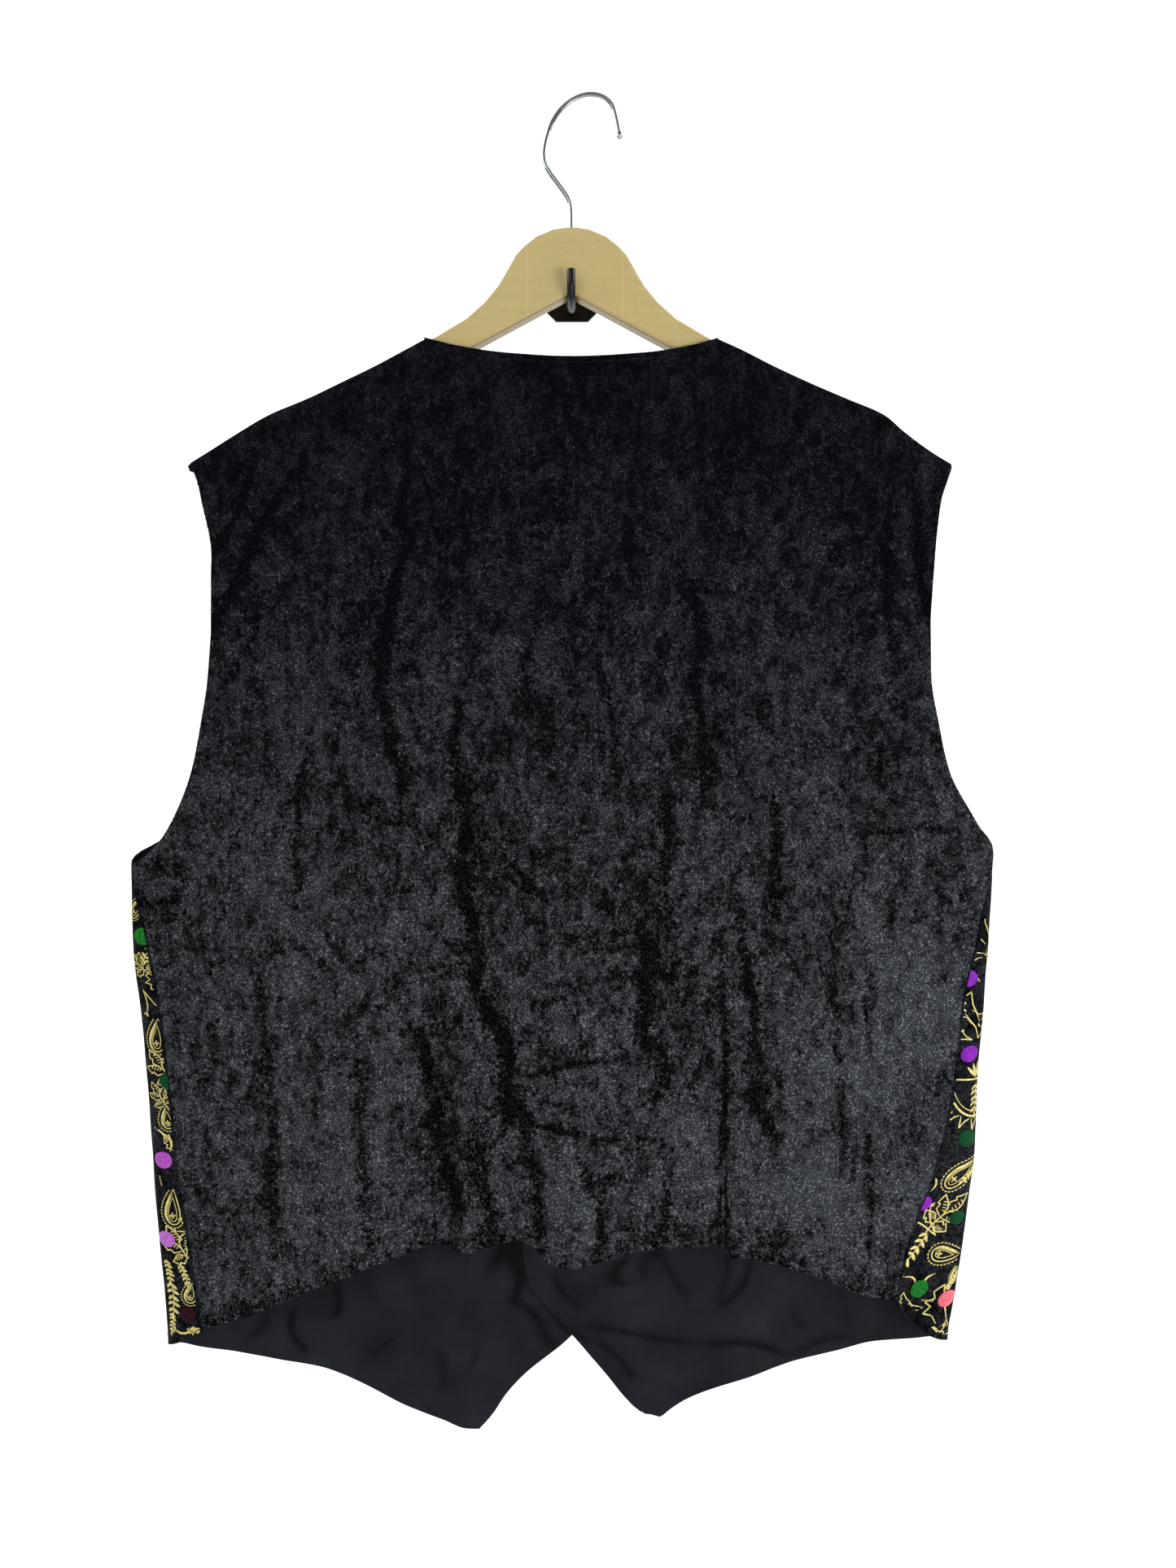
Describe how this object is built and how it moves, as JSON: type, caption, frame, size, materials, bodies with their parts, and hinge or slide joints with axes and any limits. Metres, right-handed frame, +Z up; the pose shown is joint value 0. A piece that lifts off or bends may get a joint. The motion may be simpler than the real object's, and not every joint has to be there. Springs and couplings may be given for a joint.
{
  "type": "vest on a wooden hanger and a wall hook",
  "caption": "Sleeveless velvet vest with pointed fronts and side panels wrapping to a darted back, hung flat on a wooden hanger that rests on a black wall hook.",
  "frame": {"origin": "middle of the wall hook's plate, on its flat back face, which lies on the wall", "axes": "+Z up, +Y into the wall; the vest's back faces -Y, and +X is to the right of someone who faces the wall"},
  "size_m": [0.5708, 0.057, 0.8977],
  "materials": {
    "velvet": "crushed velvet with a fine bright nap",
    "printed_velvet": "black velvet with a pale gold block print",
    "lining": "plain black weave",
    "button": "polished",
    "wood": "satin lacquer",
    "steel": "bright zinc",
    "black_paint": "satin black"
  },
  "bodies": {
    "root": {"back": "velvet", "front_left": "printed_velvet", "front_right": "printed_velvet", "lining_left": "lining", "lining_right": "lining", "button_1": "button", "button_2": "button", "button_3": "button", "button_4": "button", "hanger_body": "wood", "hanger_hook": "steel", "wall_hook_bar": "black_paint", "wall_hook_plate": "black_paint"}
  },
  "joints": []
}
